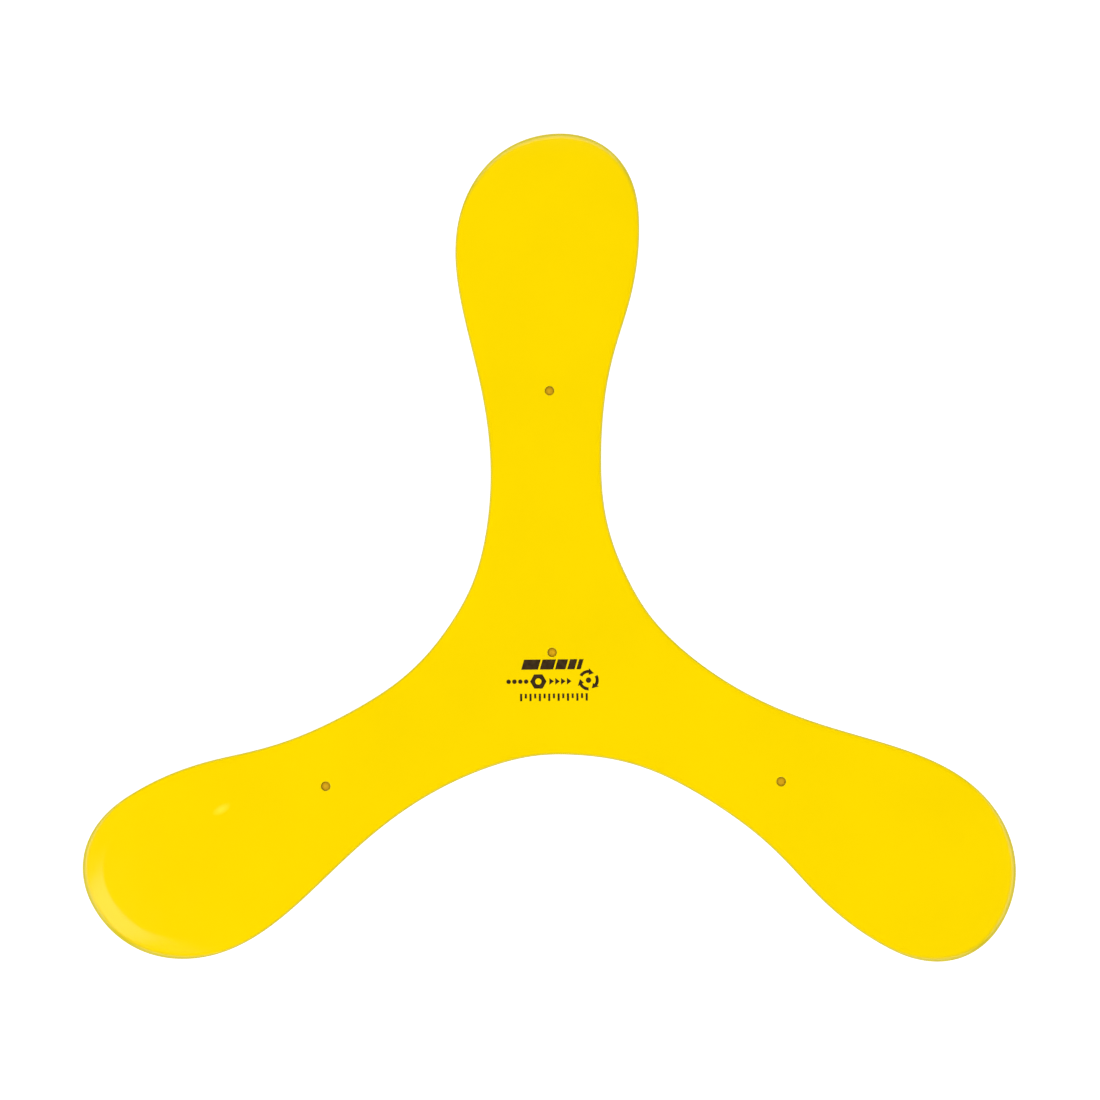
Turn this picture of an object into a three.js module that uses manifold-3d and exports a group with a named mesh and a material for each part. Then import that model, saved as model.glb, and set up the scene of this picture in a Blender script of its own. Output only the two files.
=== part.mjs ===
// A right-handed three-bladed boomerang, moulded as two soft skins round a stiff three-armed core.
// It lies with its flat, printed back upwards and rests on the flat middle of its curved front.
// Millimetres, +Z up. The origin is the middle of the hub, on the plane that it rests on, and
// blade 0 points along +Y. Each blade has its leading edge on its clockwise side, seen from above.

import * as THREE from 'three';
import { mergeVertices } from 'three/addons/utils/BufferGeometryUtils.js';
import Module from 'manifold-3d';

const wasm = await Module();
wasm.setup();

// ---- Driving dimensions ----

const BLADES = 3;
const GAP = 0.3; // clearance between neighbouring pieces
const BACK_Z = 4.8; // the flat back face
const JOINT_Z = 2.8; // middle of the joint between the two skins
const CORE_THICKNESS = 1.0;

// The outline runs clockwise round a blade: valley, neck, lobe, tip, lobe, neck, next valley.
// It is parallel to the blade's axis at its necks and lobes, square to it at the tip, and square
// to the radius in the valley. `across` is positive on the leading side, `out` is the distance
// along the blade, and `before` and `after` are how far the curve keeps its direction there.
const OUTLINE = {
  neckTrailing: { across: -17.9, out: 54.3, before: 11.2, after: 27.3 },
  lobeTrailing: { across: -27.9, out: 120.6, before: 20.4, after: 20.3 },
  tip: { across: 3.9, out: 156.7, before: 19.0, after: 11.8 },
  lobeLeading: { across: 27.5, out: 129.4, before: 19.5, after: 31.7 },
  neckLeading: { across: 15.3, out: 55.0, before: 41.6, after: 14.0 },
  valley: { radius: 30.5, before: 16.6, after: 13.0 },
};

// The core's plan is a narrower one, symmetrical about each blade's axis.
const CORE_OUTLINE = {
  neckTrailing: { across: -8.0, out: 44.0, before: 10.0, after: 20.0 },
  lobeTrailing: { across: -13.5, out: 98.0, before: 20.0, after: 10.0 },
  tip: { across: 0.0, out: 116.0, before: 8.0, after: 8.0 },
  lobeLeading: { across: 13.5, out: 98.0, before: 10.0, after: 20.0 },
  neckLeading: { across: 8.0, out: 44.0, before: 20.0, after: 10.0 },
  valley: { radius: 19.0, before: 9.0, after: 9.0 },
};

// Locating-pin holes through the back skin: one at the hub and one on each blade's axis. The mould's
// pins held the core down by its bosses there.
const PIN_HOLE_RADIUS = 1.35;
const PIN_HOLE_OUT = 78.5;
const BOSS_TOP_Z = 4.3; // a boss of the core fills each pin hole up to here

// Posts of the front skin that stand up through the core, as [across, out] on each blade.
const POST_RADIUS = 2.0;
const POSTS = [
  [0, 32],
  [0, 56],
  [-7, 98],
  [7, 98],
];

// Edges: a rounding all round the back, a wide bevel round each tip, and on the front a short
// rounding on the trailing edge and a long one on the leading edge.
const BACK_ROUNDING = { width: 2.0, depth: 0.55 };
const TIP_BEVEL = { width: 6.6, depth: 0.9, from: 128, to: 148, power: 1.35 };
const TRAILING_EDGE = { rise: 1.05, power: 2.0, roundWidth: 1.5, roundDepth: 0.3 };
const LEADING_EDGE = { rise: 0.35, power: 3.5, roundWidth: 5.0, roundDepth: 0.9 };

// The front is flat out to the first radius of the hub, and has its full shape from the second.
const HUB_FLAT = { from: 22, to: 34 };
const BLADE_THINNING = { depth: 0.45, from: 24, to: 60 };
const TIP_THINNING = { depth: 0.55, from: 105, to: 145 };
const TIP_DROOP = { depth: 1.2, from: 118, to: 156.7 };

// Steps along each stretch of the outline, and rings from the edge inwards. A ring is a distance
// from the edge within the edge band, then a share of the way from the band to the blade's spine.
// The spine's stations start slowly from the hub and draw together near the tip.
const STEPS = { valleyToNeck: 5, neckToLobe: 6, lobeToTip: 7 };
const EDGE_BAND = 7.0;
const SHAPED_RINGS = { distances: [0, 0.3, 1.0, 2.2, 4.5, EDGE_BAND], shares: [0.35, 0.7, 1] };
const PLAIN_RINGS = { distances: [0, EDGE_BAND], shares: [0.5, 1] };
const SPINE = { slowUntil: 60, drawTogetherFrom: 115, end: 132 };
const ROUND_SIDES = 16; // sides of a pin hole or a post
const MERGE = 1e-4; // corners closer than this become one
const PAST = 1; // how far a drill runs past the face it starts from

// ---- Small helpers ----

const CENTRE = new THREE.Vector2(0, 0);
const bladeAngle = (blade) => (-2 * Math.PI * blade) / BLADES;
const halfSector = Math.PI / BLADES;
const { lerp, smoothstep } = THREE.MathUtils;

function alongBlade(across, out, blade) {
  return new THREE.Vector2(across, out).rotateAround(CENTRE, bladeAngle(blade));
}

// How much a quarter-round edge of this width and depth takes away at a distance from the edge.
function rounding(distance, width, depth) {
  const reach = Math.max(0, 1 - distance / width);
  return depth * (1 - Math.sqrt(1 - reach * reach));
}

// ---- Outline ----

// The six curves round blade 0, from the valley before it to the valley after it.
function bladeCurves(plan) {
  const valleyPoint = (side) =>
    new THREE.Vector2(side * Math.sin(halfSector), Math.cos(halfSector)).multiplyScalar(plan.valley.radius);
  const valleyDirection = (side) =>
    new THREE.Vector2(Math.cos(halfSector), -side * Math.sin(halfSector));
  const outward = new THREE.Vector2(0, 1);
  const inward = new THREE.Vector2(0, -1);
  const forward = new THREE.Vector2(1, 0);
  const point = (stop) => new THREE.Vector2(stop.across, stop.out);
  const stops = [
    { at: valleyPoint(-1), heading: valleyDirection(-1), ...plan.valley },
    { at: point(plan.neckTrailing), heading: outward, ...plan.neckTrailing },
    { at: point(plan.lobeTrailing), heading: outward, ...plan.lobeTrailing },
    { at: point(plan.tip), heading: forward, ...plan.tip },
    { at: point(plan.lobeLeading), heading: inward, ...plan.lobeLeading },
    { at: point(plan.neckLeading), heading: inward, ...plan.neckLeading },
    { at: valleyPoint(1), heading: valleyDirection(1), ...plan.valley },
  ];
  return stops.slice(1).map((end, i) => {
    const start = stops[i];
    return new THREE.CubicBezierCurve(
      start.at,
      start.at.clone().addScaledVector(start.heading, start.after),
      end.at.clone().addScaledVector(end.heading, -end.before),
      end.at,
    );
  });
}

// Points along both sides of blade 0, each from its valley to the shared tip point.
function bladeSides(plan) {
  const curves = bladeCurves(plan);
  const steps = [STEPS.valleyToNeck, STEPS.neckToLobe, STEPS.lobeToTip];
  const side = (ordered, reversed) =>
    ordered.flatMap((curve, i) => {
      const points = curve.getSpacedPoints(steps[i]);
      if (reversed) points.reverse();
      return i === 0 ? points : points.slice(1);
    });
  return {
    trailing: side(curves.slice(0, 3), false),
    leading: side(curves.slice(3).reverse(), true),
  };
}

// The whole outline of a plan as one closed loop of points, clockwise.
function closedOutline(plan) {
  const { trailing, leading } = bladeSides(plan);
  const blade0 = [...trailing, ...leading.slice(1, -1).reverse()];
  return [...Array(BLADES).keys()].flatMap((blade) =>
    blade0.map((p) => alongBlade(p.x, p.y, blade)),
  );
}

// ---- Skins ----

// The place on the spine, as a distance along the blade, that an outline point's rib runs to.
function spineStation(out, valleyOut, tipOut) {
  if (out < SPINE.drawTogetherFrom) return out * smoothstep(out, valleyOut, SPINE.slowUntil);
  const beyond = (out - SPINE.drawTogetherFrom) / (tipOut - SPINE.drawTogetherFrom);
  return lerp(SPINE.drawTogetherFrom, SPINE.end, beyond);
}

// A rib leaves the outline squarely and soon runs straight to the spine of its blade. Both sides of
// a blade use the same spine stations, the valley ribs meet at the hub's middle, and the ribs fan
// at the tip. leadingShare goes from 0 on the trailing side to 1 on the leading side, and swerve is
// how far the rib's first direction would take it from the spine.
function makeRibs() {
  const { trailing, leading } = bladeSides(OUTLINE);
  const last = trailing.length - 1;
  const ribs = [];
  for (let blade = 0; blade < BLADES; blade += 1) {
    const add = (p, i, side) => {
      const meanOut = (trailing[i].y + leading[i].y) / 2;
      ribs.push({
        edge: alongBlade(p.x, p.y, blade),
        spine: alongBlade(0, spineStation(meanOut, trailing[0].y, trailing[last].y), blade),
        leadingShare: (1 + side * Math.sin((Math.PI * i) / last)) / 2,
        tipShare: smoothstep(p.y, TIP_BEVEL.from, TIP_BEVEL.to),
        blade,
      });
    };
    trailing.forEach((p, i) => add(p, i, -1));
    for (let i = last - 1; i > 0; i -= 1) add(leading[i], i, 1);
  }
  ribs.forEach((rib, i) => {
    const next = ribs[(i + 1) % ribs.length].edge;
    const previous = ribs[(i + ribs.length - 1) % ribs.length].edge;
    const heading = next.clone().sub(previous).normalize();
    const inward = new THREE.Vector2(heading.y, -heading.x);
    rib.length = rib.edge.distanceTo(rib.spine);
    rib.swerve = inward.multiplyScalar(rib.length).sub(rib.spine).add(rib.edge);
  });
  return ribs;
}

// The points of one rib at each ring, with what the height formulas need.
function ribPoints(rib, rings) {
  const pastBand = rings.shares.map((share) => lerp(EDGE_BAND, rib.length, share));
  return [...rings.distances, ...pastBand].map((distance) => {
    const t = distance / rib.length;
    const at = rib.edge.clone().lerp(rib.spine, t).addScaledVector(rib.swerve, t * (1 - t) ** 3);
    const out = at.clone().rotateAround(CENTRE, -bladeAngle(rib.blade)).y;
    return { at, distance, out, rib };
  });
}

function tipDroop(out) {
  const reach = Math.max(0, (out - TIP_DROOP.from) / (TIP_DROOP.to - TIP_DROOP.from));
  return TIP_DROOP.depth * reach * reach;
}

function backHeight({ distance, out, rib }) {
  const bevelReach = Math.max(0, 1 - distance / TIP_BEVEL.width);
  const bevel = rib.tipShare * TIP_BEVEL.depth * bevelReach ** TIP_BEVEL.power;
  const edge = rounding(distance, BACK_ROUNDING.width, BACK_ROUNDING.depth);
  return BACK_Z - edge - bevel - tipDroop(out);
}

function frontEdgeHeight(edge, distance, length) {
  const rise = edge.rise * (1 - distance / length) ** edge.power;
  return rise + rounding(distance, edge.roundWidth, edge.roundDepth);
}

function frontHeight({ at, distance, out, rib }) {
  const spine =
    BLADE_THINNING.depth * smoothstep(out, BLADE_THINNING.from, BLADE_THINNING.to) +
    TIP_THINNING.depth * smoothstep(out, TIP_THINNING.from, TIP_THINNING.to);
  const edge = lerp(
    frontEdgeHeight(TRAILING_EDGE, distance, rib.length),
    frontEdgeHeight(LEADING_EDGE, distance, rib.length),
    rib.leadingShare,
  );
  const shaped = smoothstep(at.length(), HUB_FLAT.from, HUB_FLAT.to);
  return shaped * (spine + edge) - tipDroop(out);
}

const jointHeight = (offset) => (point) => JOINT_Z + offset - tipDroop(point.out);

// A closed skin between an upper and a lower surface that share the outline.
function skinGeometry(upper, lower) {
  const ribs = makeRibs();
  const corners = [];
  const place = (surface, point) => new THREE.Vector3(point.at.x, point.at.y, surface.height(point));
  const quad = (a, b, c, d) => corners.push(a, b, c, a, c, d);
  const sheet = (surface, facingUp) => {
    const columns = ribs.map((rib) => ribPoints(rib, surface.rings).map((p) => place(surface, p)));
    columns.forEach((column, i) => {
      const next = columns[(i + 1) % columns.length];
      for (let ring = 1; ring < column.length; ring += 1) {
        const [a, b, c, d] = [column[ring - 1], column[ring], next[ring], next[ring - 1]];
        if (facingUp) quad(a, b, c, d);
        else quad(a, d, c, b);
      }
    });
    return columns.map((column) => column[0]);
  };
  const upperRim = sheet(upper, true);
  const lowerRim = sheet(lower, false);
  upperRim.forEach((corner, i) => {
    const next = (i + 1) % ribs.length;
    quad(corner, upperRim[next], lowerRim[next], lowerRim[i]);
  });
  const geometry = new THREE.BufferGeometry().setFromPoints(corners);
  return mergeVertices(geometry, MERGE);
}

// ---- Solids that are joined or cut ----

function toSolid(geometry) {
  const bare = geometry.clone();
  bare.deleteAttribute('normal');
  bare.deleteAttribute('uv');
  const merged = mergeVertices(bare, MERGE);
  return new wasm.Manifold(
    new wasm.Mesh({
      numProp: 3,
      vertProperties: new Float32Array(merged.attributes.position.array),
      triVerts: new Uint32Array(merged.index.array),
    }),
  );
}

function toGeometry(solid) {
  const mesh = solid.getMesh();
  const geometry = new THREE.BufferGeometry();
  geometry.setAttribute('position', new THREE.BufferAttribute(mesh.vertProperties, 3));
  geometry.setIndex(new THREE.BufferAttribute(mesh.triVerts, 1));
  geometry.computeVertexNormals();
  return geometry;
}

function roundBar(radius, fromZ, toZ, place) {
  const geometry = new THREE.CylinderGeometry(radius, radius, toZ - fromZ, ROUND_SIDES);
  geometry.rotateX(Math.PI / 2);
  geometry.translate(place.x, place.y, (fromZ + toZ) / 2);
  return geometry;
}

function postPlaces() {
  return [...Array(BLADES).keys()].flatMap((blade) =>
    POSTS.map(([across, out]) => alongBlade(across, out, blade)),
  );
}

function pinHolePlaces() {
  const onBlades = [...Array(BLADES).keys()].map((blade) => alongBlade(0, PIN_HOLE_OUT, blade));
  return [CENTRE, ...onBlades];
}

// ---- Pieces ----

const frontTopZ = JOINT_Z - GAP / 2;
const backUndersideZ = JOINT_Z + GAP / 2;
const coreTopZ = backUndersideZ - GAP;
const coreBottomZ = coreTopZ - CORE_THICKNESS;
const pocketFloorZ = coreBottomZ - GAP;

function flatBackSkin() {
  const skin = toSolid(
    skinGeometry(
      { rings: SHAPED_RINGS, height: backHeight },
      { rings: PLAIN_RINGS, height: jointHeight(GAP / 2) },
    ),
  );
  const drilled = pinHolePlaces().reduce(
    (solid, place) => solid.subtract(toSolid(roundBar(PIN_HOLE_RADIUS, 0, BACK_Z + PAST, place))),
    skin,
  );
  return toGeometry(drilled);
}

function corePocket() {
  const outline = closedOutline(CORE_OUTLINE);
  const widened = outline.map((point, i) => {
    const next = outline[(i + 1) % outline.length];
    const previous = outline[(i + outline.length - 1) % outline.length];
    const heading = next.clone().sub(previous).normalize();
    return point.clone().add(new THREE.Vector2(-heading.y, heading.x).multiplyScalar(GAP));
  });
  const geometry = new THREE.ExtrudeGeometry(new THREE.Shape(widened), {
    depth: BACK_Z - pocketFloorZ,
    bevelEnabled: false,
  });
  return geometry.translate(0, 0, pocketFloorZ);
}

function curvedFrontSkin() {
  const skin = toSolid(
    skinGeometry(
      { rings: PLAIN_RINGS, height: jointHeight(-GAP / 2) },
      { rings: SHAPED_RINGS, height: frontHeight },
    ),
  );
  const pocketed = skin.subtract(toSolid(corePocket()));
  const rootZ = pocketFloorZ - GAP; // the posts start inside the skin under the pocket
  const posted = postPlaces().reduce(
    (solid, place) => solid.add(toSolid(roundBar(POST_RADIUS, rootZ, frontTopZ, place))),
    pocketed,
  );
  return toGeometry(posted);
}

function stiffeningCore() {
  const shape = new THREE.Shape(closedOutline(CORE_OUTLINE));
  shape.holes = postPlaces().map((place) => {
    const hole = new THREE.EllipseCurve(place.x, place.y, POST_RADIUS + GAP, POST_RADIUS + GAP);
    return new THREE.Path(hole.getPoints(ROUND_SIDES).slice(0, -1));
  });
  const plate = new THREE.ExtrudeGeometry(shape, { depth: CORE_THICKNESS, bevelEnabled: false });
  const rootZ = coreBottomZ + CORE_THICKNESS / 2; // the bosses start inside the plate
  const bossed = pinHolePlaces().reduce(
    (solid, place) => solid.add(toSolid(roundBar(PIN_HOLE_RADIUS - GAP, rootZ, BOSS_TOP_Z, place))),
    toSolid(plate.translate(0, 0, coreBottomZ)),
  );
  return toGeometry(bossed);
}

// ---- Assembly ----

const softYellow = new THREE.MeshStandardMaterial({ color: '#ffdd00', roughness: 0.35, metalness: 0 });
const coreYellow = new THREE.MeshStandardMaterial({ color: '#e0b40c', roughness: 0.55, metalness: 0 });

const pieces = [
  ['stiffening_core', stiffeningCore(), coreYellow],
  ['flat_back_skin', flatBackSkin(), softYellow],
  ['curved_front_skin', curvedFrontSkin(), softYellow],
];

const boomerang = new THREE.Group();
for (const [name, geometry, material] of pieces) {
  const mesh = new THREE.Mesh(geometry, material);
  mesh.name = name;
  boomerang.add(mesh);
}

export default boomerang;
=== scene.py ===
"""Looks of the three-bladed boomerang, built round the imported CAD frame.

Metres, +Z up, in the frame's own axes: the flat printed back faces up and blade 0 points along +Y.
The two skins and the core are rebuilt as smooth meshes from the frame's own rims and levels.
"""

import math

import bmesh
import bpy
import numpy as np
from mathutils import Matrix, Vector


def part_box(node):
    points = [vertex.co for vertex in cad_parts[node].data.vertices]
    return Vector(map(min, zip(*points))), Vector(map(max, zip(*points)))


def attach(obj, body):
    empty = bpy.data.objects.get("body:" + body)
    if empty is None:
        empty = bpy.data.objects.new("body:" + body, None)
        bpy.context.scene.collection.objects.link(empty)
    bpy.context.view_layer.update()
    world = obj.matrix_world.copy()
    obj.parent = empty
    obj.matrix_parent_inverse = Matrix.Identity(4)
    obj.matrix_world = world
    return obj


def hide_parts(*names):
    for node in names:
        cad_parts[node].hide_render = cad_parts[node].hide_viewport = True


MM = 0.001
BLADES = 3

# ---- Sizes ----

# Edges and thinning of the skins: widths, depths and distances along a blade.
BACK_ROUNDING = {"width": 2.0 * MM, "depth": 0.55 * MM}
TIP_BEVEL = {"width": 6.6 * MM, "depth": 0.9 * MM, "start": 128 * MM, "full": 148 * MM, "power": 1.35}
TRAILING_EDGE = {"rise": 1.05 * MM, "power": 2.0, "width": 1.5 * MM, "depth": 0.3 * MM}
LEADING_EDGE = {"rise": 0.35 * MM, "power": 3.5, "width": 5.0 * MM, "depth": 0.9 * MM}
HUB_FLAT = {"start": 22 * MM, "full": 34 * MM}
BLADE_THINNING = {"depth": 0.45 * MM, "start": 24 * MM, "full": 60 * MM}
TIP_THINNING = {"depth": 0.55 * MM, "start": 105 * MM, "full": 145 * MM}
TIP_DROOP = {"depth": 1.2 * MM, "start": 118 * MM}
SPINE = {"slow_until": 60 * MM, "draw_together_from": 115 * MM, "end": 132 * MM}
SEAM_FILLET = 0.14 * MM  # the two skins' meeting edges, which make the fine parting groove
SEAM_GAP = 0.02 * MM
BOSS_GAP = 0.08 * MM  # between a pin hole and the boss of the core in it
HOLE_FILLET = 0.15 * MM
CORE_EDGE = 0.12 * MM

# A small painted highlight on the back of one blade: a glint painted into the skin's colour.
PAINTED_GLINT = {
    "blade": 2,
    "out": 108.7 * MM,
    "across": 9.9 * MM,
    "half_length": 3.2 * MM,
    "half_width": 1.5 * MM,
}

# Mesh density.
SIDE_STATIONS = 112  # ribs along one side of a blade
ROUND_STEPS = 9  # rings round a rounded edge
BEVEL_STEPS = 10
INNER_STEPS = 20  # rings from the edge band to the spine
WALL_STEPS = 3
SEAM_STEPS = 3
CORNER_STEPS = 4  # up the quarter-round edge of a hole or a boss
CORE_EDGE_STEPS = 2
JOINT_FACE_SHARES = (0.05, 0.25, 0.5, 0.75, 1)  # of the way along a rib, over a skin's joint face
EDGE_BAND = 7.0 * MM
HOLE_SIDES = 64
DOT_SIDES = 32
ARC_STEPS = 40
RIM_POINTS = 7200  # points of the dense outline that the ribs are spaced on
CORE_RIM_POINTS = 720
ROUND_WITHIN = 0.02  # a loop is a round hole if its radius varies by less than this share
UPRIGHT = 0.5  # a face belongs to the top or the underside if its normal's height is more than this
CAD_MERGE = 1e-6
MERGE = 1e-7
SHARP_ANGLE = math.radians(35)

# ---- Frame ----

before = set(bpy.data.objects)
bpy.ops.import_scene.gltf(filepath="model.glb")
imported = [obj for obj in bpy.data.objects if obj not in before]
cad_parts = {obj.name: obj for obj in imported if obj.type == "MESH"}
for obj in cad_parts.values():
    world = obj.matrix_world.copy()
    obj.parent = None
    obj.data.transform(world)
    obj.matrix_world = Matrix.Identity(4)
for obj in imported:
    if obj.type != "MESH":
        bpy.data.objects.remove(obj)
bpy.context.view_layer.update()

BACK = "flat_back_skin"
FRONT = "curved_front_skin"
CORE = "stiffening_core"

back_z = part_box(BACK)[1].z
rest_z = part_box(FRONT)[0].z
front_top_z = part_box(FRONT)[1].z
core_low_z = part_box(CORE)[0].z
boss_top_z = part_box(CORE)[1].z


def rim_loops(node, facing):
    """The closed loops where a node's upward (+1) or downward (-1) faces meet its walls.

    The longest comes first.
    """
    mesh = bmesh.new()
    mesh.from_mesh(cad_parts[node].data)
    bmesh.ops.remove_doubles(mesh, verts=mesh.verts, dist=CAD_MERGE)
    mesh.normal_update()

    def is_flat(face):
        return face.normal.z * facing > UPRIGHT

    linked = {}
    for edge in mesh.edges:
        if len(edge.link_faces) == 2 and is_flat(edge.link_faces[0]) != is_flat(edge.link_faces[1]):
            a, b = edge.verts
            linked.setdefault(a, []).append(b)
            linked.setdefault(b, []).append(a)
    loops = []
    while linked:
        start = next(iter(linked))
        loop = [start]
        while linked.get(loop[-1]):
            here = loop[-1]
            onward = linked[here].pop()
            linked[onward].remove(here)
            if not linked[here]:
                del linked[here]
            loop.append(onward)
        linked.pop(start, None)
        loops.append(np.array([v.co for v in loop[:-1]]))
    mesh.free()
    return sorted(loops, key=lambda points: -loop_length(points))


def loop_length(points):
    return np.linalg.norm(np.roll(points, -1, axis=0) - points, axis=1).sum()


def clockwise(points):
    x, y = points.T
    area = (x * np.roll(y, -1) - y * np.roll(x, -1)).sum() / 2
    return points if area < 0 else points[::-1]


def smooth_loop(points, count):
    """`count` points, evenly spaced, on the closed cubic spline through the points."""
    n = len(points)
    step = np.linalg.norm(np.roll(points, -1, axis=0) - points, axis=1)
    slope = (np.roll(points, -1, axis=0) - points) / step[:, None]
    system = np.zeros((n, n))
    for i in range(n):
        system[i, i - 1] = step[i - 1]
        system[i, i] = 2 * (step[i - 1] + step[i])
        system[i, (i + 1) % n] = step[i]
    bend = np.linalg.solve(system, 6 * (slope - np.roll(slope, 1, axis=0)))
    knots = np.concatenate([[0], np.cumsum(step)])
    along = np.linspace(0, knots[-1], count, endpoint=False)
    i = np.searchsorted(knots, along, side="right") - 1
    j = (i + 1) % n
    h = step[i][:, None]
    after = (along - knots[i])[:, None]
    before = h - after
    return (
        bend[i] * before**3 / (6 * h)
        + bend[j] * after**3 / (6 * h)
        + (points[i] / h - bend[i] * h / 6) * before
        + (points[j] / h - bend[j] * h / 6) * after
    )


def round_holes(loops):
    """The centre and radius of each loop whose points lie on a circle."""
    holes = []
    for points in loops:
        centre = points[:, :2].mean(axis=0)
        reach = np.linalg.norm(points[:, :2] - centre, axis=1)
        if np.ptp(reach) < ROUND_WITHIN * reach.max():
            holes.append((centre, reach.max()))
    return holes


back_rims = rim_loops(BACK, -1)
outline = smooth_loop(clockwise(back_rims[0][:, :2]), RIM_POINTS)
pin_holes = round_holes(back_rims[1:])

core_rims = rim_loops(CORE, 1)
core_outline = smooth_loop(clockwise(core_rims[0][:, :2]), CORE_RIM_POINTS)
core_holes = [hole for hole in round_holes(core_rims[1:]) if hole[1] > pin_holes[0][1]]
core_high_z = core_rims[0][:, 2].max()

back_underside_z = max(points[:, 2].max() for points in back_rims)
gap = back_underside_z - front_top_z
joint_z = front_top_z + gap / 2


# ---- Ribs ----


def blade_axis(blade):
    angle = 2 * math.pi * blade / BLADES
    return np.array([math.sin(angle), math.cos(angle)])


def smoothstep(value, low, high):
    share = np.clip((value - low) / (high - low), 0, 1)
    return share * share * (3 - 2 * share)


def stretch(loop, first, last, count):
    """`count` + 1 points, evenly spaced along a loop from one index to a later one.

    The stretch may run on past the loop's last point to its first.
    """
    span = (last - first) % len(loop)
    points = loop[(first + np.arange(span + 1)) % len(loop)]
    along = np.concatenate([[0], np.cumsum(np.linalg.norm(np.diff(points, axis=0), axis=1))])
    wanted = np.linspace(0, along[-1], count + 1)
    return np.stack([np.interp(wanted, along, points[:, k]) for k in (0, 1)], axis=1)


def blade_landmarks():
    """The outline's index at each blade's tip and in the valley before each blade."""
    tips = [int(np.argmax(outline @ blade_axis(blade))) for blade in range(BLADES)]
    radius = np.linalg.norm(outline, axis=1)
    valleys = []
    for blade, tip in enumerate(tips):
        before = tips[blade - 1]
        span = (tip - before) % len(outline)
        between = (before + np.arange(span)) % len(outline)
        valleys.append(int(between[np.argmin(radius[between])]))
    return tips, valleys


def spine_station(out, valley_out, tip_out):
    start = SPINE["draw_together_from"]
    near = out * smoothstep(out, valley_out, SPINE["slow_until"])
    far = start + (SPINE["end"] - start) * (out - start) / (tip_out - start)
    return np.where(out < start, near, far)


def make_ribs():
    """Ribs from the outline in to the spine of each blade, clockwise round the whole boomerang."""
    tips, valleys = blade_landmarks()
    edge, spine, axis, share = [], [], [], []
    for blade in range(BLADES):
        direction = blade_axis(blade)
        trailing = stretch(outline, valleys[blade], tips[blade], SIDE_STATIONS)
        leading = stretch(outline, tips[blade], valleys[(blade + 1) % BLADES], SIDE_STATIONS)[::-1]
        mean_out = (trailing + leading) @ direction / 2
        station = spine_station(mean_out, mean_out[0], mean_out[-1])
        between = np.sin(np.pi * np.arange(SIDE_STATIONS + 1) / SIDE_STATIONS)
        back_down = slice(SIDE_STATIONS - 1, 0, -1)
        edge += [trailing, leading[back_down]]
        spine += [station[:, None] * direction, station[back_down, None] * direction]
        share += [(1 - between) / 2, (1 + between[back_down]) / 2]
        axis += [np.tile(direction, (2 * SIDE_STATIONS, 1))]
    edge, spine, axis = (np.concatenate(part) for part in (edge, spine, axis))
    heading = np.roll(edge, -1, axis=0) - np.roll(edge, 1, axis=0)
    heading /= np.linalg.norm(heading, axis=1)[:, None]
    return {
        "edge": edge,
        "spine": spine,
        "axis": axis,
        "inward": np.stack([heading[:, 1], -heading[:, 0]], axis=1),
        "length": np.linalg.norm(edge - spine, axis=1),
        "leading_share": np.concatenate(share),
        "tip_share": smoothstep((edge * axis).sum(axis=1), TIP_BEVEL["start"], TIP_BEVEL["full"]),
        "tip_out": (outline @ blade_axis(0)).max(),
    }


ribs = make_ribs()


def ring_place(distance):
    """Where the ring at these distances from the edge, one for each rib, crosses the ribs."""
    t = (distance / ribs["length"])[:, None]
    straight = (1 - t) * ribs["edge"] + t * ribs["spine"]
    swerve = ribs["inward"] * ribs["length"][:, None] - (ribs["spine"] - ribs["edge"])
    return straight + t * (1 - t) ** 3 * swerve


# ---- Heights ----


def rounding(distance, width, depth):
    reach = np.clip(1 - distance / width, 0, 1)
    return depth * (1 - np.sqrt(1 - reach**2))


def tip_droop(place):
    out = (place * ribs["axis"]).sum(axis=1)
    reach = np.clip((out - TIP_DROOP["start"]) / (ribs["tip_out"] - TIP_DROOP["start"]), 0, None)
    return TIP_DROOP["depth"] * reach**2


def back_height(distance):
    place = ring_place(distance)
    reach = np.clip(1 - distance / TIP_BEVEL["width"], 0, 1)
    bevel = ribs["tip_share"] * TIP_BEVEL["depth"] * reach ** TIP_BEVEL["power"]
    edge = rounding(distance, BACK_ROUNDING["width"], BACK_ROUNDING["depth"])
    return back_z - edge - bevel - tip_droop(place)


def front_edge(edge, distance):
    rise = edge["rise"] * (1 - distance / ribs["length"]) ** edge["power"]
    return rise + rounding(distance, edge["width"], edge["depth"])


def front_height(distance):
    place = ring_place(distance)
    out = (place * ribs["axis"]).sum(axis=1)
    spine = BLADE_THINNING["depth"] * smoothstep(out, BLADE_THINNING["start"], BLADE_THINNING["full"])
    spine = spine + TIP_THINNING["depth"] * smoothstep(out, TIP_THINNING["start"], TIP_THINNING["full"])
    lead = ribs["leading_share"]
    edge = (1 - lead) * front_edge(TRAILING_EDGE, distance) + lead * front_edge(LEADING_EDGE, distance)
    shaped = smoothstep(np.linalg.norm(place, axis=1), HUB_FLAT["start"], HUB_FLAT["full"])
    return rest_z + shaped * (spine + edge) - tip_droop(place)


def joint_height(distance, offset):
    return joint_z + offset - tip_droop(ring_place(distance))


# ---- Skins ----


def edge_to_spine(first_width):
    """Ring distances from the edge to the spine: a rounded edge, the band behind it, then the rest."""
    turn = np.linspace(0, math.pi / 2, ROUND_STEPS)
    near = first_width * (1 - np.cos(turn))
    band = np.linspace(first_width, EDGE_BAND, BEVEL_STEPS)[1:]
    fixed = [np.full_like(ribs["length"], d) for d in (*near, *band)]
    shares = np.linspace(0, 1, INNER_STEPS + 1)[1:]
    return fixed + [EDGE_BAND + share * (ribs["length"] - EDGE_BAND) for share in shares]


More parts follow.
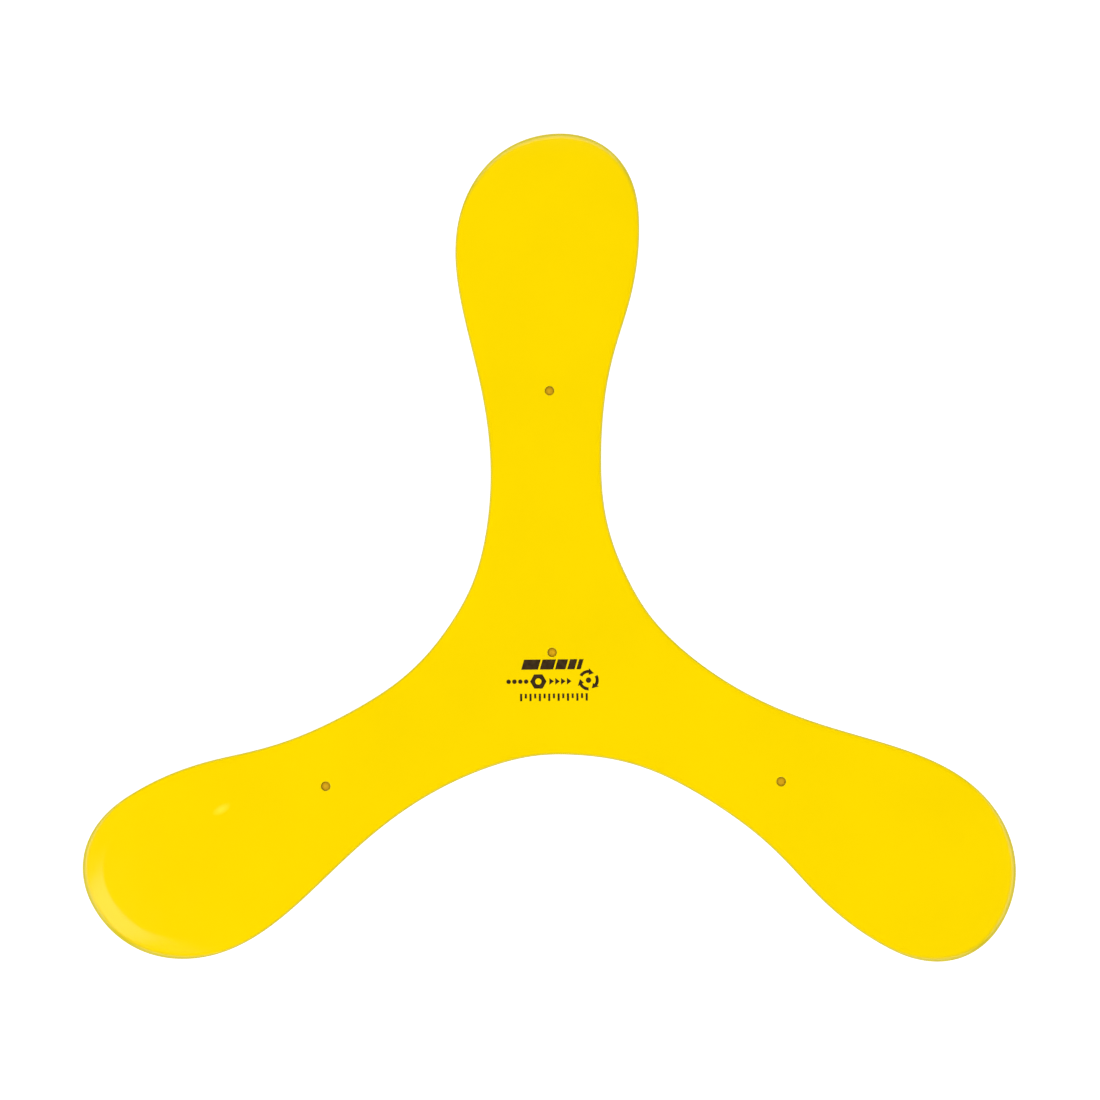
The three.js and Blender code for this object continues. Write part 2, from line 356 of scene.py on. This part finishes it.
def seam_rings(side):
    """Rings round the fillet where a skin meets the other one: side is +1 above the joint, -1 below."""
    rings = []
    for turn in np.linspace(0, math.pi / 2, SEAM_STEPS + 1):
        distance = np.full_like(ribs["length"], SEAM_FILLET * (1 - math.cos(turn)))
        offset = side * (SEAM_GAP + SEAM_FILLET * (1 - math.sin(turn)))
        rings.append((distance, joint_height(distance, offset)))
    return rings


def joint_face_rings(side):
    distances = [SEAM_FILLET + share * (ribs["length"] - SEAM_FILLET) for share in JOINT_FACE_SHARES]
    return [(d, joint_height(d, side * SEAM_GAP)) for d in distances]


def skin(name, outer_height, outer_width, side):
    """A closed skin: its rings run from its outer face's spine, over the edge, to its joint face's spine."""
    outer = [(d, outer_height(d)) for d in edge_to_spine(outer_width)]
    seam = seam_rings(side)
    top, bottom = outer[0][1], seam[0][1]
    shares = np.linspace(0, 1, WALL_STEPS + 1)[1:-1]
    wall = [(outer[0][0], top + share * (bottom - top)) for share in shares]
    rings = outer[::-1] + wall + seam + joint_face_rings(side)
    grid = np.stack([np.column_stack([ring_place(d), z]) for d, z in rings])
    return mesh_from_grid(name, grid)


def mesh_from_grid(name, grid):
    """A smooth mesh from rings of points, each ring closed on itself, with coinciding points merged."""
    ring_count, around, _ = grid.shape
    index = np.arange(ring_count * around).reshape(ring_count, around)
    onward = np.roll(index, -1, axis=1)
    quads = np.stack([index[:-1], index[1:], onward[1:], onward[:-1]], axis=-1).reshape(-1, 4)
    data = bpy.data.meshes.new(name)
    data.from_pydata(grid.reshape(-1, 3).tolist(), [], quads.tolist())
    shape = bmesh.new()
    shape.from_mesh(data)
    bmesh.ops.remove_doubles(shape, verts=shape.verts, dist=MERGE)
    bmesh.ops.recalc_face_normals(shape, faces=shape.faces)
    shape.to_mesh(data)
    shape.free()
    return add_object(name, data)


def add_object(name, data):
    piece = bpy.data.objects.new(name, data)
    bpy.context.scene.collection.objects.link(piece)
    return piece


# ---- Plates, holes and cuts ----


def circle(centre, radius, sides=HOLE_SIDES):
    turn = np.linspace(0, 2 * math.pi, sides, endpoint=False)
    return np.asarray(centre) + radius * np.stack([np.cos(turn), np.sin(turn)], axis=1)


def plate(name, loops, low, high, edge=0.0):
    """A flat plate with these outlines and holes between two heights, its edges eased by `edge`."""
    curve = bpy.data.curves.new(name, "CURVE")
    curve.dimensions = "2D"
    curve.fill_mode = "BOTH"
    curve.extrude = (high - low) / 2 - edge
    curve.bevel_depth = edge
    curve.bevel_resolution = CORE_EDGE_STEPS
    curve.offset = -edge
    for points in loops:
        spline = curve.splines.new("POLY")
        spline.points.add(len(points) - 1)
        for slot, (x, y) in zip(spline.points, points):
            slot.co = (x, y, 0, 1)
        spline.use_cyclic_u = True
    holder = add_object(name, curve)
    data = bpy.data.meshes.new_from_object(holder)
    data.transform(Matrix.Translation((0, 0, (low + high) / 2)))
    bpy.data.objects.remove(holder)
    bpy.data.curves.remove(curve)
    shape = bmesh.new()
    shape.from_mesh(data)
    bmesh.ops.remove_doubles(shape, verts=shape.verts, dist=MERGE)
    bmesh.ops.recalc_face_normals(shape, faces=shape.faces)
    shape.to_mesh(data)
    shape.free()
    data.name = name
    return add_object(name, data)


def turned(name, centre, profile):
    """A solid of revolution about an upright axis, from (radius, height) points.

    The first and the last of them are on the axis.
    """
    shape = bmesh.new()
    points = [shape.verts.new((centre[0] + r, centre[1], z)) for r, z in profile]
    edges = [shape.edges.new(pair) for pair in zip(points, points[1:])]
    bmesh.ops.spin(
        shape,
        geom=points + edges,
        cent=(centre[0], centre[1], 0),
        axis=(0, 0, 1),
        angle=2 * math.pi,
        steps=HOLE_SIDES,
    )
    bmesh.ops.remove_doubles(shape, verts=shape.verts, dist=MERGE)
    bmesh.ops.recalc_face_normals(shape, faces=shape.faces)
    data = bpy.data.meshes.new(name)
    shape.to_mesh(data)
    shape.free()
    return add_object(name, data)


def combine(piece, other, operation):
    """Takes the other's shape out of the piece (DIFFERENCE) or adds it (UNION), and removes the other."""
    modifier = piece.modifiers.new("combine", "BOOLEAN")
    modifier.operation = operation
    modifier.solver = "EXACT"
    modifier.object = other
    bpy.context.view_layer.update()
    graph = bpy.context.evaluated_depsgraph_get()
    data = bpy.data.meshes.new_from_object(piece.evaluated_get(graph))
    piece.modifiers.clear()
    piece.data = data
    bpy.data.objects.remove(other)


def finish_surface(piece, material):
    piece.data.shade_smooth()
    piece.data.set_sharp_from_angle(angle=SHARP_ANGLE)
    piece.data.materials.clear()
    piece.data.materials.append(material)


def quarter_round(radius, top_z, size, side):
    """(Radius, height) points up an eased edge to its top, which flares out (+1) or draws in (-1)."""
    turns = np.linspace(0, math.pi / 2, CORNER_STEPS + 1)
    return [(radius + side * size * (1 - math.cos(t)), top_z - size * (1 - math.sin(t))) for t in turns]


def pin_hole_cutter(centre, radius):
    """The shape of a locating-pin hole, with a small fillet at its mouth."""
    mouth = quarter_round(radius, back_z, HOLE_FILLET, 1)
    widest = radius + HOLE_FILLET
    profile = [(0, core_high_z), (radius, core_high_z), *mouth, (widest, back_z + MM), (0, back_z + MM)]
    return turned("pin_hole", centre, profile)


def make_back_skin(material):
    piece = skin("back_skin", back_height, BACK_ROUNDING["width"], 1)
    for centre, radius in pin_holes:
        combine(piece, pin_hole_cutter(centre, radius), "DIFFERENCE")
    finish_surface(piece, material)
    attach(piece, "root")
    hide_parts(BACK)
    return piece


def widened(loop, by):
    heading = np.roll(loop, -1, axis=0) - np.roll(loop, 1, axis=0)
    heading /= np.linalg.norm(heading, axis=1)[:, None]
    return loop + by * np.stack([-heading[:, 1], heading[:, 0]], axis=1)


def make_front_skin(material):
    """The curved skin, with the pocket that the core lies in and a post in each of the core's holes."""
    piece = skin("front_skin", front_height, LEADING_EDGE["width"], -1)
    posts = [circle(centre, radius - gap) for centre, radius in core_holes]
    pocket = plate("pocket", [widened(core_outline, gap), *posts], core_low_z - gap, back_z)
    combine(piece, pocket, "DIFFERENCE")
    finish_surface(piece, material)
    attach(piece, "root")
    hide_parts(FRONT)
    return piece


def core_boss(centre, hole_radius):
    """A round boss with an eased top edge, rooted in the core's plate."""
    radius = hole_radius - BOSS_GAP
    root_z = (core_low_z + core_high_z) / 2
    edge = quarter_round(radius, boss_top_z, CORE_EDGE, -1)
    return turned("core_boss", centre, [(0, root_z), (radius, root_z), *edge, (0, boss_top_z)])


def make_core(material):
    holes = [circle(centre, radius) for centre, radius in core_holes]
    piece = plate("core_plate", [core_outline, *holes], core_low_z, core_high_z, CORE_EDGE)
    for centre, radius in pin_holes:
        combine(piece, core_boss(centre, radius), "UNION")
    finish_surface(piece, material)
    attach(piece, "root")
    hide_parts(CORE)
    return piece


# ---- Printing ----

INK_LOW = back_z - 0.01 * MM
INK_HIGH = back_z + 0.02 * MM

# Marks are placed across (+X) and up (+Y) from the middle of the hub.
BAND = {"left": -9.3 * MM, "low": -5.1 * MM, "high": -2.1 * MM, "slant": 0.9 * MM, "space": 0.55 * MM}
BAND_WIDTHS = (5.0 * MM, 4.0 * MM, 3.1 * MM, 2.2 * MM, 1.3 * MM)
ROW_Y = -8.65 * MM  # the row of dots, hexagon and wedges
ROW_COUNT = 4
ROW_PITCH = 1.75 * MM
DOTS = {"left": -13.1 * MM, "radius": 0.66 * MM}
HEXAGON = {"x": -4.2 * MM, "radius": 2.45 * MM, "clear_radius": 0.95 * MM}
WEDGES = {"left": -0.9 * MM, "half_height": 1.0 * MM, "length": 1.35 * MM}
ARROWS = {"x": 10.8 * MM, "y": -8.4 * MM, "outer": 3.05 * MM, "inner": 2.15 * MM, "flare": 0.55 * MM}
ARROWS_DOT_RADIUS = 0.8 * MM
ARROW_STARTS = (150, 30, -90)  # degrees, anticlockwise from +X
ARROW_SHAFT = 62  # degrees that an arrow's shaft takes up, and then its head
ARROW_HEAD = 36
SCALE = {"left": -9.7 * MM, "pitch": 1.4 * MM, "width": 0.62 * MM, "high": -12.3 * MM}
SCALE_LOWS = (-14.5 * MM, -13.7 * MM)  # the foot of the long ticks and of the short ones
SCALE_TICKS = 15


def polar(centre, radius, degrees):
    turn = np.radians(degrees)
    return np.asarray(centre) + radius * np.stack([np.cos(turn), np.sin(turn)], axis=-1)


def arc(centre, radius, start, end):
    return polar(centre, radius, np.linspace(start, end, ARC_STEPS + 1))


def slanted_block(left, width, low, high, slant):
    return np.array([(left, low), (left + slant, high), (left + slant + width, high), (left + width, low)])


def motion_band():
    """A bold band of slanted blocks that get narrower."""
    left = BAND["left"]
    blocks = []
    for width in BAND_WIDTHS:
        blocks.append(slanted_block(left, width, BAND["low"], BAND["high"], BAND["slant"]))
        left += width + BAND["space"]
    return blocks


def dot_row():
    centres = [(DOTS["left"] + i * ROW_PITCH, ROW_Y) for i in range(ROW_COUNT)]
    return [circle(centre, DOTS["radius"], DOT_SIDES) for centre in centres]


def hexagon():
    """A hexagon with a round middle left clear."""
    centre = (HEXAGON["x"], ROW_Y)
    return [circle(centre, HEXAGON["radius"], 6), circle(centre, HEXAGON["clear_radius"])]


def wedge_row():
    wedges = []
    for i in range(ROW_COUNT):
        left = WEDGES["left"] + i * ROW_PITCH
        low, high = ROW_Y - WEDGES["half_height"], ROW_Y + WEDGES["half_height"]
        wedges.append(np.array([(left, low), (left, high), (left + WEDGES["length"], ROW_Y)]))
    return wedges


def spin_arrows():
    """Three arrows that chase each other round a dot, the way the boomerang spins."""
    centre = (ARROWS["x"], ARROWS["y"])
    outer, inner, flare = ARROWS["outer"], ARROWS["inner"], ARROWS["flare"]
    loops = [circle(centre, ARROWS_DOT_RADIUS, DOT_SIDES)]
    for start in ARROW_STARTS:
        end = start - ARROW_SHAFT
        head = [
            polar(centre, outer + flare, end),
            polar(centre, (outer + inner) / 2, end - ARROW_HEAD),
            polar(centre, inner - flare, end),
        ]
        loops.append(np.concatenate([arc(centre, outer, start, end), head, arc(centre, inner, end, start)]))
    return loops


def fine_scale():
    """A row of fine ticks, long and short in turn."""
    ticks = []
    for i in range(SCALE_TICKS):
        left = SCALE["left"] + i * SCALE["pitch"]
        ticks.append(slanted_block(left, SCALE["width"], SCALE_LOWS[i % 2], SCALE["high"], 0))
    return ticks


def make_printing(material):
    """The generic printed marks below the hub, as thin films of ink."""
    marks = {
        "ink_motion_band": motion_band(),
        "ink_dot_row": dot_row(),
        "ink_hexagon": hexagon(),
        "ink_wedge_row": wedge_row(),
        "ink_spin_arrows": spin_arrows(),
        "ink_fine_scale": fine_scale(),
    }
    for name, loops in marks.items():
        piece = plate(name, loops, INK_LOW, INK_HIGH)
        finish_surface(piece, material)
        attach(piece, "root")


# ---- Materials ----

# The scale and the detail of each noise, in the object's own metres.
CLOUD_NOISE = (28, 3)
GLOSS_NOISE = (160, 4)
PEEL_NOISE = (190, 2)
GRAIN_NOISE = (2600, 2)
INK_NOISE = (900, 4)
NOISE_SPREAD = (0.3, 0.7)  # most of a noise texture's values lie between these

# Painted shade: the skin's colour is darkened on its rounded edges, by how far the surface tilts from flat.
EDGE_SHADE_TURN = (0.90, 0.975)  # how upright the surface is where it is fully, and just, darkened
PAINTED_GLINT_FADE = (0.2, 1)  # where the painted glint starts to fade and where it ends, as a share of its half length
PAINTED_GLINT_STRENGTH = 0.85

SKIN_COLOURS = ((0.930, 0.660, 0.0), (0.960, 0.685, 0.0))
# The painted shade colour of the skin's rounded edges.
SKIN_EDGE_SHADE_COLOUR = (0.60, 0.49, 0.010)
# The painted highlight's colour, for the glint on one blade.
PAINTED_GLINT_COLOUR = (0.94, 0.80, 0.035)
# The core's own yellow, darkened further with painted shade for the pin holes' floors, where it shows.
CORE_COLOURS_AND_HOLE_SHADE = ((0.67, 0.37, 0.0), (0.70, 0.40, 0.004))
INK_COLOURS = ((0.026, 0.013, 0.003), (0.050, 0.027, 0.006))
SKIN_ROUGHNESS = (0.15, 0.19)
CORE_ROUGHNESS = (0.45, 0.55)
INK_ROUGHNESS = (0.38, 0.52)
PLASTIC_SPECULAR = 0.3
INK_SPECULAR = 0.25
PEEL_HEIGHT = 0.010 * MM
SKIN_GRAIN = 0.002 * MM
CORE_GRAIN = 0.006 * MM


def new_material(name):
    material = bpy.data.materials.new(name)
    material.use_nodes = True
    nodes, links = material.node_tree.nodes, material.node_tree.links
    return material, nodes, links, nodes["Principled BSDF"]


def add_noise(nodes, links, coordinates, kind):
    noise = nodes.new("ShaderNodeTexNoise")
    noise.inputs["Scale"].default_value, noise.inputs["Detail"].default_value = kind
    links.new(coordinates.outputs["Object"], noise.inputs["Vector"])
    return noise.outputs["Fac"]


def map_range(nodes, links, source, span, result, interpolation="LINEAR"):
    """Turns a value's span into another, held at its ends."""
    spread = nodes.new("ShaderNodeMapRange")
    spread.interpolation_type = interpolation
    spread.inputs["From Min"].default_value, spread.inputs["From Max"].default_value = span
    spread.inputs["To Min"].default_value, spread.inputs["To Max"].default_value = result
    links.new(source, spread.inputs["Value"])
    return spread.outputs["Result"]


def mix_colours(nodes, links, share, first, second):
    """A mix of two colours, where the first may be another node's output."""
    mix = nodes.new("ShaderNodeMix")
    mix.data_type = "RGBA"
    if isinstance(first, tuple):
        mix.inputs["A"].default_value = (*first, 1)
    else:
        links.new(first, mix.inputs["A"])
    mix.inputs["B"].default_value = (*second, 1)
    links.new(share, mix.inputs["Factor"])
    return mix.outputs["Result"]


def add_bump(nodes, links, height, distance):
    bump = nodes.new("ShaderNodeBump")
    bump.inputs["Distance"].default_value = distance
    links.new(height, bump.inputs["Height"])
    return bump


def moulded_plastic(name, colours, roughness, grain_height):
    """Smooth moulded plastic: faint clouds in the colour, an uneven gloss, orange peel and a fine grain."""
    material, nodes, links, shader = new_material(name)
    coordinates = nodes.new("ShaderNodeTexCoord")
    clouds = add_noise(nodes, links, coordinates, CLOUD_NOISE)
    share = map_range(nodes, links, clouds, NOISE_SPREAD, (0, 1))
    links.new(mix_colours(nodes, links, share, *colours), shader.inputs["Base Color"])
    gloss = add_noise(nodes, links, coordinates, GLOSS_NOISE)
    links.new(map_range(nodes, links, gloss, NOISE_SPREAD, roughness), shader.inputs["Roughness"])
    peel = add_bump(nodes, links, add_noise(nodes, links, coordinates, PEEL_NOISE), PEEL_HEIGHT)
    grain = add_bump(nodes, links, add_noise(nodes, links, coordinates, GRAIN_NOISE), grain_height)
    links.new(peel.outputs["Normal"], grain.inputs["Normal"])
    links.new(grain.outputs["Normal"], shader.inputs["Normal"])
    shader.inputs["Specular IOR Level"].default_value = PLASTIC_SPECULAR
    return material


def paint_edge_shade(material, shade_colour):
    """Paints shade into the skin's colour wherever its surface turns away from flat, darkening its rounded
    edges.
    """
    nodes, links = material.node_tree.nodes, material.node_tree.links
    shader = nodes["Principled BSDF"]
    coordinates = nodes.new("ShaderNodeTexCoord")
    split = nodes.new("ShaderNodeSeparateXYZ")
    links.new(coordinates.outputs["Normal"], split.inputs["Vector"])
    upright = nodes.new("ShaderNodeMath")
    upright.operation = "ABSOLUTE"
    links.new(split.outputs["Z"], upright.inputs[0])
    share = map_range(nodes, links, upright.outputs["Value"], EDGE_SHADE_TURN, (1, 0))
    plain = shader.inputs["Base Color"].links[0].from_socket
    links.new(mix_colours(nodes, links, share, plain, shade_colour), shader.inputs["Base Color"])


def paint_glint(material, pale):
    """A small soft-edged painted glint, a highlight painted into the colour, longest along the blade that it
    is on.
    """
    nodes, links = material.node_tree.nodes, material.node_tree.links
    shader = nodes["Principled BSDF"]
    axis = blade_axis(PAINTED_GLINT["blade"])
    centre = PAINTED_GLINT["out"] * axis + PAINTED_GLINT["across"] * np.array([axis[1], -axis[0]])
    coordinates = nodes.new("ShaderNodeTexCoord")
    place = nodes.new("ShaderNodeMapping")
    place.vector_type = "TEXTURE"
    place.inputs["Location"].default_value = (*centre, back_z)
    place.inputs["Rotation"].default_value = (0, 0, math.atan2(axis[1], axis[0]))
    half_length, half_width = PAINTED_GLINT["half_length"], PAINTED_GLINT["half_width"]
    place.inputs["Scale"].default_value = (half_length, half_width, half_width)
    links.new(coordinates.outputs["Object"], place.inputs["Vector"])
    reach = nodes.new("ShaderNodeVectorMath")
    reach.operation = "LENGTH"
    links.new(place.outputs["Vector"], reach.inputs[0])
    share = map_range(nodes, links, reach.outputs["Value"], PAINTED_GLINT_FADE, (PAINTED_GLINT_STRENGTH, 0))
    plain = shader.inputs["Base Color"].links[0].from_socket
    links.new(mix_colours(nodes, links, share, plain, pale), shader.inputs["Base Color"])


def printed_ink():
    """Thin dark ink: a little uneven in tone and gloss."""
    material, nodes, links, shader = new_material("printed_ink")
    coordinates = nodes.new("ShaderNodeTexCoord")
    tone = add_noise(nodes, links, coordinates, INK_NOISE)
    share = map_range(nodes, links, tone, NOISE_SPREAD, (0, 1))
    links.new(mix_colours(nodes, links, share, *INK_COLOURS), shader.inputs["Base Color"])
    links.new(map_range(nodes, links, tone, NOISE_SPREAD, INK_ROUGHNESS), shader.inputs["Roughness"])
    shader.inputs["Specular IOR Level"].default_value = INK_SPECULAR
    return material


# ---- Stage ----

VIEW_WIDTH = 329.4 * MM  # width of the printed face's plane that the picture shows
CAMERA_DISTANCE = 900 * MM
CAMERA_TILT = math.radians(2.5)
CAMERA_ROLL = math.radians(0.58)
CAMERA_TARGET = Vector((-0.32 * MM, 30.65 * MM, back_z))
SENSOR = 36.0
CLIP = (0.01, 50)

WHITE = (1, 1, 1, 1)
FLOOR_HALF = 6.0
FLOOR_TONE = 0.40
FLOOR_GLOW = 0.80  # the floor's own light, which keeps the surroundings white
FLOOR_ROUGHNESS = 0.9
FLOOR_SPECULAR = 0.1

# The world fades from the horizon's light to none between these heights on the unit sphere.
WORLD_FADE = (0.35, 0.58)
HORIZON_LIGHT = 1.0

KEY = {"place": (-0.627, -0.399, 0.95), "size": (0.34, 0.45), "power": 1.36}
PANELS = {"count": 4, "out": 1.3, "up": 0.90, "size": (2.0, 0.50), "power": 10.9}


def make_camera():
    data = bpy.data.cameras.new("camera")
    data.sensor_width = SENSOR
    data.lens = SENSOR * CAMERA_DISTANCE / VIEW_WIDTH
    data.clip_start, data.clip_end = CLIP
    camera = add_object("camera", data)
    away = Vector((0, -math.sin(CAMERA_TILT), math.cos(CAMERA_TILT)))
    up = Vector((math.sin(CAMERA_ROLL), math.cos(CAMERA_ROLL), 0))
    right = up.cross(away).normalized()
    up = away.cross(right)
    turn = Matrix((right, up, away)).transposed().to_4x4()
    camera.matrix_world = Matrix.Translation(CAMERA_TARGET + away * CAMERA_DISTANCE) @ turn
    bpy.context.scene.camera = camera


def make_floor():
    data = bpy.data.meshes.new("floor")
    corners = [(x * FLOOR_HALF, y * FLOOR_HALF, rest_z) for x, y in ((-1, -1), (1, -1), (1, 1), (-1, 1))]
    data.from_pydata(corners, [], [(0, 1, 2, 3)])
    floor = add_object("floor", data)
    material, _, _, shader = new_material("pale_floor")
    shader.inputs["Base Color"].default_value = (FLOOR_TONE, FLOOR_TONE, FLOOR_TONE, 1)
    shader.inputs["Roughness"].default_value = FLOOR_ROUGHNESS
    shader.inputs["Specular IOR Level"].default_value = FLOOR_SPECULAR
    shader.inputs["Emission Color"].default_value = WHITE
    shader.inputs["Emission Strength"].default_value = FLOOR_GLOW
    data.materials.append(material)


def area_light(name, place, size, power):
    """A rectangular light that faces the middle of the hub."""
    data = bpy.data.lights.new(name, "AREA")
    data.shape = "RECTANGLE"
    data.size, data.size_y = size
    data.energy = power
    light = add_object(name, data)
    light.location = place
    light.rotation_euler = Vector(place).to_track_quat("Z", "Y").to_euler()


def make_world():
    """A white room with a dark ceiling: pale round the horizon, dark straight above."""
    world = bpy.data.worlds.new("studio")
    bpy.context.scene.world = world
    world.use_nodes = True
    nodes, links = world.node_tree.nodes, world.node_tree.links
    coordinates = nodes.new("ShaderNodeTexCoord")
    split = nodes.new("ShaderNodeSeparateXYZ")
    links.new(coordinates.outputs["Generated"], split.inputs["Vector"])
    strength = map_range(nodes, links, split.outputs["Z"], WORLD_FADE, (HORIZON_LIGHT, 0), "SMOOTHSTEP")
    background = nodes["Background"]
    background.inputs["Color"].default_value = WHITE
    links.new(strength, background.inputs["Strength"])


def make_lights():
    """A softbox that the left tip's bevel mirrors, and panels all round."""
    area_light("key_left", KEY["place"], KEY["size"], KEY["power"])
    for i in range(PANELS["count"]):
        turn = 2 * math.pi * i / PANELS["count"]
        place = (PANELS["out"] * math.cos(turn), PANELS["out"] * math.sin(turn), PANELS["up"])
        area_light(f"low_panel_{i}", place, PANELS["size"], PANELS["power"])


# ---- Scene ----

skin_yellow = moulded_plastic("yellow_skin", SKIN_COLOURS, SKIN_ROUGHNESS, SKIN_GRAIN)
# Painted shade on the skin's rounded edges.
paint_edge_shade(skin_yellow, SKIN_EDGE_SHADE_COLOUR)
# Painted highlight: a glint on one blade.
paint_glint(skin_yellow, PAINTED_GLINT_COLOUR)
# The core's colour carries painted shade for the pin holes' floors.
core_yellow = moulded_plastic("yellow_core", CORE_COLOURS_AND_HOLE_SHADE, CORE_ROUGHNESS, CORE_GRAIN)

make_back_skin(skin_yellow)
make_front_skin(skin_yellow)
make_core(core_yellow)
make_printing(printed_ink())
make_camera()
make_floor()
make_world()
make_lights()

bpy.context.scene.view_settings.view_transform = "Standard"
bpy.context.scene.view_settings.look = "None"
